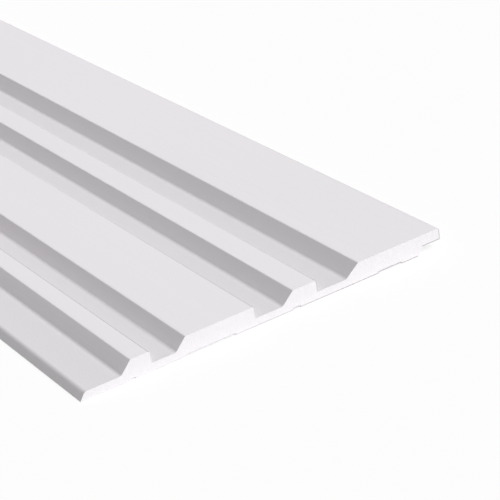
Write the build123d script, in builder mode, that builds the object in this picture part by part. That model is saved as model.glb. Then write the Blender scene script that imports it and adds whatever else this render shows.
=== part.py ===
"""Slatted wall panel: one length of extruded white polymer, lying face up on its back.

Sizes are millimetres. The section lies in X and Z, from the bevelled flange on
the left to the overhanging lip on the right, and the length runs along Y.
"""
import os

from build123d import *

# Driving sizes
panel_length = 2000.0
floor_thickness = 5.0  # flange and groove floors, above the back
bar_height = 7.5  # bar tops, above the floors

# Widths across the panel, from left to right
bevel_run = 3.5  # slanted outer edge of the flange
flange_width = 23.5  # flange floor, from the bevel to the first bar
slope_1_run = 7.5  # slanted left side of each bar
slope_2_run = 7.5
slope_3_run = 8.5
slope_4_run = 10.0
bar_1_width = 12.5  # flat top of each bar
bar_2_width = 46.5
bar_3_width = 16.5
bar_4_width = 59.5  # reaches out over the rebate as the lip
groove_1_width = 16.0  # floor of each groove, to the right of the bar of that number
groove_2_width = 18.5
groove_3_width = 20.0

# Lap joint: the next panel's flange slides under the lip
lip_width = 13.5
lap_clearance = 0.2  # between the lip and the next panel's flange

# Glue channels in the back, one under each bar
channel_depth = 0.9
channel_1_inset = 4.0  # from the foot of the bar's slope to the channel
channel_2_inset = 6.5
channel_3_inset = 6.5
channel_4_inset = 23.0
channel_1_width = 4.5
channel_2_width = 33.0
channel_3_width = 5.5
channel_4_width = 17.0

# Rounded edges
root_radius = 3.0  # foot of each slope
crest_radius = 1.5  # top of each slope
shoulder_radius = 1.0  # right top edge of each bar
bevel_radius = 3.0  # top of the flange's bevel
sharp = 0.0

# Levels above the back
panel_thickness = floor_thickness + bar_height
rebate_height = floor_thickness + lap_clearance

# Foot of each bar's slope, from the panel's left edge
foot_1 = bevel_run + flange_width
foot_2 = foot_1 + slope_1_run + bar_1_width + groove_1_width
foot_3 = foot_2 + slope_2_run + bar_2_width + groove_2_width
foot_4 = foot_3 + slope_3_run + bar_3_width + groove_3_width
panel_width = foot_4 + slope_4_run + bar_4_width

feet = (foot_1, foot_2, foot_3, foot_4)
slope_runs = (slope_1_run, slope_2_run, slope_3_run, slope_4_run)
bar_widths = (bar_1_width, bar_2_width, bar_3_width, bar_4_width)
wall_ends = (floor_thickness, floor_thickness, floor_thickness, rebate_height)
channel_insets = (channel_1_inset, channel_2_inset, channel_3_inset, channel_4_inset)
channel_widths = (channel_1_width, channel_2_width, channel_3_width, channel_4_width)


def section_corners():
    """Corners of the section as (across, up, rounding radius), clockwise from the left edge."""
    corners = [(0, 0, sharp), (bevel_run, floor_thickness, bevel_radius)]
    for foot, slope_run, bar_width, wall_end in zip(feet, slope_runs, bar_widths, wall_ends):
        crest = foot + slope_run
        shoulder = crest + bar_width
        corners.append((foot, floor_thickness, root_radius))
        corners.append((crest, panel_thickness, crest_radius))
        corners.append((shoulder, panel_thickness, shoulder_radius))
        corners.append((shoulder, wall_end, sharp))
    # The rebate's wall has the slant of the bevel that it meets
    rebate_top = panel_width - lip_width
    rebate_foot = rebate_top - bevel_run * rebate_height / floor_thickness
    corners.append((rebate_top, rebate_height, sharp))
    corners.append((rebate_foot, 0, sharp))
    return corners


# The section is drawn at the far end, from the left edge, and runs towards -Y
far_end = Plane(origin=(-panel_width / 2, panel_length / 2, 0), x_dir=(1, 0, 0), z_dir=(0, -1, 0))

with BuildPart() as wall_panel:
    with BuildSketch(far_end):
        with BuildLine():
            points = [(across, up) for across, up, radius in section_corners()]
            radii = [radius for across, up, radius in section_corners()]
            FilletPolyline(*points, radius=radii, close=True)
        make_face()
        for foot, inset, width in zip(feet, channel_insets, channel_widths):
            with Locations((foot + inset, 0)):
                Rectangle(width, channel_depth, align=(Align.MIN, Align.MIN), mode=Mode.SUBTRACT)
    extrude(amount=panel_length)

wall_panel.part.label = "wall_panel"
os.makedirs("parts", exist_ok=True)
export_step(wall_panel.part, "parts/wall_panel.step")
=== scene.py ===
"""Looks for the slatted wall panel: camera, light, floor and the panel's primed finish. Sizes are metres."""
from math import radians

import bpy
from mathutils import Matrix, Vector


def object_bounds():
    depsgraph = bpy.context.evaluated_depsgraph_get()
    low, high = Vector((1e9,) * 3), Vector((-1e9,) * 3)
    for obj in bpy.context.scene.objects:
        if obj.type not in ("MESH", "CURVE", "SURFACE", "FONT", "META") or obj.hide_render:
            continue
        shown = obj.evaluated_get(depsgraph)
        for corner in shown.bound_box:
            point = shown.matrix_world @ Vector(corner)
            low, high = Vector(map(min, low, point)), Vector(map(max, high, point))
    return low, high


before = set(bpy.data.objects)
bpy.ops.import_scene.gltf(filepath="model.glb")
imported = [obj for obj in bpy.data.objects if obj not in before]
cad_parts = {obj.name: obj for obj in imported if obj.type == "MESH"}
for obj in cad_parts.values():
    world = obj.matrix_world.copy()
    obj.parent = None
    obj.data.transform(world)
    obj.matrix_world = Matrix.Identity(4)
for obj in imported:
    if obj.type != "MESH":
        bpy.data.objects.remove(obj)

cad_low, cad_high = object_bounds()
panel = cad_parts["wall_panel"]
near_end = cad_low.y

# Camera: it looks along the panel and down, from beyond its near left corner
picture_pixels = 500
focal_pixels = 2000
sensor_millimetres = 36.0
aim = Vector((0.0386, near_end + 0.0825, 0.0042))  # what the middle of the picture shows
camera_distance = 1.2435
camera_azimuth = radians(27.37)  # turned to the right of straight along the panel
camera_elevation = radians(25.13)
camera_roll = radians(-9.99)

# Light: one soft lamp from the front right, and an even fill from all around
key_direction = Vector((0.43, -0.58, 0.72))  # towards the lamp
key_strength = 3.22
key_softness = radians(35)
fill_strength = 0.275

# Floor
floor_reach = 30.0  # from the middle to each side
floor_level = -0.0002  # just under the panel's back
floor_albedo = 0.96
floor_lift = 0.78  # share of the floor's look that is plain white to the camera

# Places on the panel's section
groove_level = 0.005  # flange and groove floors, above the back
root_rise = 0.0009  # height of the rounding where a slope meets a floor
rebate_slant = 0.7  # run of the rebate's wall for each unit that it rises
arris_shade_span = (-0.08, 0.06)  # along X, from where the cut ends' arrises get no painted shade line to where it is full
edge_shade_reach = (0.48, 0.32)  # from an end's left corner, to where the bars' edges get the least and the most painted shade
edge_shade_lean = 2.2  # how much faster that painted shade fades across the panel than along it
floor_shade_span = (-0.125, -0.085)  # along X, from where the floors' painted shade is lighter to where it is full
flange_shade = 0.65  # how strong that painted shade is at that span's start, with 1 at its end

# Colours
primer_light = (0.850, 0.825, 0.850, 1)
primer_dark = (0.825, 0.800, 0.825, 1)
primer_painted_shade = (0.715, 0.695, 0.715, 1)  # painted shade on the floors, upright walls and flatter slopes, lighter on the flange
edge_shade_faint = (0.655, 0.635, 0.655, 1)  # painted shade on the right top edges of the bars, where it is faintest
edge_shade_deep = (0.49, 0.47, 0.49, 1)  # the same painted shade where it is deepest
arris_shade = (0.45, 0.43, 0.45, 1)  # painted shade line along the lower and right arrises of the cut ends
cut_light = (0.800, 0.780, 0.800, 1)
cut_dark = (0.765, 0.745, 0.765, 1)
back_light = (0.80, 0.79, 0.79, 1)
back_dark = (0.74, 0.73, 0.73, 1)

# Shine: a low reflection, because the primer is matt, and each finish's least and greatest roughness
gloss = 0.2
primer_roughness = (0.66, 0.78)
cut_roughness = (0.70, 0.85)
back_roughness = (0.40, 0.55)

# Where a finish starts and where it is full, as parts of the surface's unit normal
wall_range = (0.70, 0.90)  # X of the upright walls
slope_range = (0.71, 0.81)  # Z of the slopes, from the steepest to the flattest
floor_range = (0.35, 0.90)  # Z of the floors, with the bevel's in between
shoulder_range = (0.02, 0.06)  # X times Z of the rounded shoulders
arris_range = (0.03, 0.25)  # how far the cut ends' rounded arrises lean
slope_limit = -0.55  # X below this is a slope or the bevel
face_limit = 0.5  # past this a surface faces that way

# Grain of each finish, as the size of its blotches along X, Y and Z
peel_grain = (0.0014, 0.0014, 0.0014)  # orange peel of the sprayed primer
cloud_grain = (0.09, 0.25, 0.09)  # uneven cover
die_line_grain = (0.0011, 0.30, 0.0011)  # lines drawn along the length as the stock left its die
saw_line_grain = (0.0010, 1.0, 0.030)  # saw marks across the cut ends
cell_size = 0.00045  # closed cells of the foam

# Reach and samples of the Bevel node that finds the cut ends' arrises for their painted shade line
arris_width = 0.0013
arris_samples = 8

# Relief of each finish
peel_height = 0.000022
die_line_height = 0.000008
back_line_height = 0.000024
saw_line_height = 0.000025
cell_depth = 0.00007

# Most values of a Noise node lie in this range
noise_range = (0.3, 0.7)

# Socket numbers of a colour Mix node
mix_a = 6
mix_b = 7
mix_result = 2


def add(tree, kind, inputs, **settings):
    """A new shader node, with its settings and with each input set to a value or linked to an output."""
    made = tree.nodes.new("ShaderNode" + kind)
    for name, value in settings.items():
        setattr(made, name, value)
    for name, value in inputs.items():
        if isinstance(value, bpy.types.NodeSocket):
            tree.links.new(value, made.inputs[name])
        else:
            made.inputs[name].default_value = value
    return made


def calc(tree, operation, first, second=0.0):
    """Output of a Math node."""
    return add(tree, "Math", {0: first, 1: second}, operation=operation).outputs[0]


def ramp(tree, value, start, end, low=0.0, high=1.0):
    """The value taken from the range start to end into the range low to high, and held at both limits."""
    inputs = {"Value": value, "From Min": start, "From Max": end, "To Min": low, "To Max": high}
    return add(tree, "MapRange", inputs).outputs[0]


def total(tree, *layers):
    """Sum of the layers, each a pattern times its height."""
    result = 0.0
    for pattern, height in layers:
        result = add(tree, "Math", {0: pattern, 1: height, 2: result}, operation="MULTIPLY_ADD").outputs[0]
    return result


def blend(tree, share, first, second):
    """Colour between the first and the second."""
    inputs = {0: share, mix_a: first, mix_b: second}
    return add(tree, "Mix", inputs, data_type="RGBA").outputs[mix_result]


def noise(tree, place, grain, detail=2.0):
    """Soft noise from 0 to 1, whose blotches have the grain's size along each axis."""
    inverse = tuple(1.0 / size for size in grain)
    scaled = add(tree, "VectorMath", {0: place, 1: inverse}, operation="MULTIPLY").outputs[0]
    spots = add(tree, "TexNoise", {"Vector": scaled, "Scale": 1.0, "Detail": detail}).outputs[0]
    return ramp(tree, spots, *noise_range)


def new_material(name):
    """An empty node material and its tree."""
    material = bpy.data.materials.new(name)
    material.use_nodes = True
    material.node_tree.nodes.clear()
    return material, material.node_tree


def seen_directly(tree):
    """1 for what the camera sees, also in gloss or through glass, and 0 for what lights a surface."""
    path = add(tree, "LightPath", {}).outputs
    seen = path["Is Camera Ray"]
    for way in ("Is Glossy Ray", "Is Transmission Ray"):
        seen = calc(tree, "MAXIMUM", seen, path[way])
    return seen


def make_camera():
    """The photo's camera, placed by its aim, distance and angles."""
    data = bpy.data.cameras.new("photo_camera")
    data.sensor_width = sensor_millimetres
    data.lens = focal_pixels * sensor_millimetres / picture_pixels
    camera = bpy.data.objects.new("photo_camera", data)
    bpy.context.scene.collection.objects.link(camera)
    turn = (
        Matrix.Rotation(-camera_azimuth, 4, "Z")
        @ Matrix.Rotation(radians(90) - camera_elevation, 4, "X")
        @ Matrix.Rotation(camera_roll, 4, "Z")
    )
    camera.matrix_world = Matrix.Translation(aim) @ turn @ Matrix.Translation((0, 0, camera_distance))
    bpy.context.scene.camera = camera


def make_lights():
    """A soft key lamp, and a world that fills the shade and shows white to the camera."""
    data = bpy.data.lights.new("key", "SUN")
    data.energy = key_strength
    data.angle = key_softness
    key = bpy.data.objects.new("key", data)
    key.rotation_mode = "QUATERNION"
    key.rotation_quaternion = key_direction.to_track_quat("Z", "Y")
    bpy.context.scene.collection.objects.link(key)

    world = bpy.data.worlds.new("studio")
    world.use_nodes = True
    tree = world.node_tree
    tree.nodes.clear()
    strength = ramp(tree, seen_directly(tree), 0.0, 1.0, fill_strength, 1.0)
    light = add(tree, "Background", {"Strength": strength})
    add(tree, "OutputWorld", {"Surface": light.outputs[0]})
    bpy.context.scene.world = world


def make_floor():
    """A wide white floor that keeps the panel's shadow."""
    mesh = bpy.data.meshes.new("floor")
    sides = ((-1, -1), (1, -1), (1, 1), (-1, 1))
    corners = [(x * floor_reach, y * floor_reach, floor_level) for x, y in sides]
    mesh.from_pydata(corners, [], [(0, 1, 2, 3)])
    floor = bpy.data.objects.new("floor", mesh)
    bpy.context.scene.collection.objects.link(floor)
    material, tree = new_material("white_floor")
    lit = add(tree, "BsdfDiffuse", {"Color": (floor_albedo, floor_albedo, floor_albedo, 1)})
    white = add(tree, "Emission", {"Strength": 1.0})
    lift = calc(tree, "MULTIPLY", seen_directly(tree), floor_lift)
    mixed = add(tree, "MixShader", {0: lift, 1: lit.outputs[0], 2: white.outputs[0]})
    add(tree, "OutputMaterial", {"Surface": mixed.outputs[0]})
    mesh.materials.append(material)


def painted_shade_share(tree, position, facing):
    """Share of painted shade in the primer's colour: most on the floors, the upright walls and the flatter
    slopes, less on the flange.
    """
    low = ramp(tree, position["Z"], groove_level + root_rise, groove_level)
    in_groove = calc(tree, "MULTIPLY", low, ramp(tree, facing["Z"], *floor_range))
    in_groove = calc(tree, "MULTIPLY", in_groove, ramp(tree, position["X"], *floor_shade_span, flange_shade, 1.0))
    on_wall = ramp(tree, facing["X"], *wall_range)
    faces_left = calc(tree, "LESS_THAN", facing["X"], slope_limit)
    on_slope = calc(tree, "MULTIPLY", faces_left, ramp(tree, facing["Z"], *slope_range))
    return calc(tree, "MAXIMUM", in_groove, calc(tree, "MAXIMUM", on_wall, on_slope))


def edge_shade_colour(tree, position):
    """Painted shade on the bars' right top edges, deepest to the left and near the ends."""
    from_left = calc(tree, "SUBTRACT", position["X"], cad_low.x)
    from_end = calc(tree, "SUBTRACT", cad_high.y, calc(tree, "ABSOLUTE", position["Y"]))
    shade_share = ramp(tree, total(tree, (from_left, edge_shade_lean), (from_end, 1.0)), *edge_shade_reach)
    return blend(tree, shade_share, edge_shade_faint, edge_shade_deep)


def primer_finish(tree, place, facing):
    """Colour, roughness and relief of the sprayed face."""
    peel = noise(tree, place, peel_grain)
    clouds = noise(tree, place, cloud_grain)
    lines = noise(tree, place, die_line_grain, detail=3.0)
    cover = calc(tree, "MULTIPLY", calc(tree, "ADD", clouds, lines), 0.5)
    colour = blend(tree, cover, primer_dark, primer_light)

    position = add(tree, "SeparateXYZ", {0: place}).outputs
    # Painted shade: the primer is darkened on the floors, upright walls and flatter slopes
    colour = blend(tree, painted_shade_share(tree, position, facing), colour, primer_painted_shade)
    # Only the rounded right edges of the bars face both up and right, and they get a painted shade line
    shoulder = calc(tree, "MULTIPLY", facing["X"], facing["Z"])
    colour = blend(tree, ramp(tree, shoulder, *shoulder_range), colour, edge_shade_colour(tree, position))

    roughness = ramp(tree, lines, 0.0, 1.0, *primer_roughness)
    relief = total(tree, (peel, peel_height), (lines, die_line_height))
    return colour, roughness, relief


def cut_finish(tree, place):
    """Colour, roughness and relief of the sawn ends, where the foam's closed cells show."""
    lines = noise(tree, place, saw_line_grain, detail=3.0)
    cells = add(tree, "TexVoronoi", {"Vector": place, "Scale": 1.0 / cell_size}).outputs["Distance"]
    colour = blend(tree, calc(tree, "MULTIPLY", lines, cells), cut_light, cut_dark)
    # The Bevel node's rounded normal marks the arrises, which get a painted shade line
    rounded = add(tree, "Bevel", {"Radius": arris_width}, samples=arris_samples).outputs[0]
    lean = add(tree, "SeparateXYZ", {0: rounded}).outputs
    right = calc(tree, "MAXIMUM", lean["X"], 0.0)
    down = calc(tree, "MAXIMUM", calc(tree, "MULTIPLY", lean["Z"], -1.0), 0.0)
    # The two cancel on the rebate's slanted wall, whose arris gets no painted shade line
    arris = calc(tree, "ABSOLUTE", calc(tree, "SUBTRACT", calc(tree, "MULTIPLY", right, rebate_slant), down))
    across = add(tree, "SeparateXYZ", {0: place}).outputs["X"]
    shade_share = calc(tree, "MULTIPLY", ramp(tree, arris, *arris_range), ramp(tree, across, *arris_shade_span))
    colour = blend(tree, shade_share, colour, arris_shade)
    roughness = ramp(tree, cells, 0.0, 1.0, *cut_roughness)
    relief = total(tree, (cells, -cell_depth), (lines, saw_line_height))
    return colour, roughness, relief


def back_finish(tree, place):
    """Colour, roughness and relief of the unprimed back."""
    lines = noise(tree, place, die_line_grain, detail=4.0)
    clouds = noise(tree, place, cloud_grain)
    colour = blend(tree, calc(tree, "MULTIPLY", lines, clouds), back_light, back_dark)
    roughness = ramp(tree, clouds, 0.0, 1.0, *back_roughness)
    relief = calc(tree, "MULTIPLY", lines, back_line_height)
    return colour, roughness, relief


def choose(tree, share, first, second):
    """One finish where the share is 0 and the other where it is 1."""
    colour = blend(tree, share, first[0], second[0])
    numbers = []
    for a, b in zip(first[1:], second[1:]):
        numbers.append(add(tree, "Mix", {"Factor": share, "A": a, "B": b}).outputs[0])
    return colour, *numbers


def panel_material():
    """White primer on the face, bare foam on the sawn ends and an unprimed skin on the back."""
    material, tree = new_material("primed_polymer")
    place = add(tree, "TexCoord", {}).outputs["Object"]
    normal = add(tree, "NewGeometry", {}).outputs["Normal"]
    facing = add(tree, "SeparateXYZ", {0: normal}).outputs
    on_back = calc(tree, "LESS_THAN", facing["Z"], -face_limit)
    on_end = calc(tree, "GREATER_THAN", calc(tree, "ABSOLUTE", facing["Y"]), face_limit)

    finish = choose(tree, on_back, primer_finish(tree, place, facing), back_finish(tree, place))
    colour, roughness, relief = choose(tree, on_end, finish, cut_finish(tree, place))
    bump = add(tree, "Bump", {"Height": relief, "Distance": 1.0}).outputs[0]
    inputs = {"Base Color": colour, "Roughness": roughness, "Specular IOR Level": gloss, "Normal": bump}
    shader = add(tree, "BsdfPrincipled", inputs)
    add(tree, "OutputMaterial", {"Surface": shader.outputs[0]})
    return material


make_camera()
make_lights()
make_floor()
panel.material_slots[0].material = panel_material()

bpy.context.scene.view_settings.view_transform = "Standard"
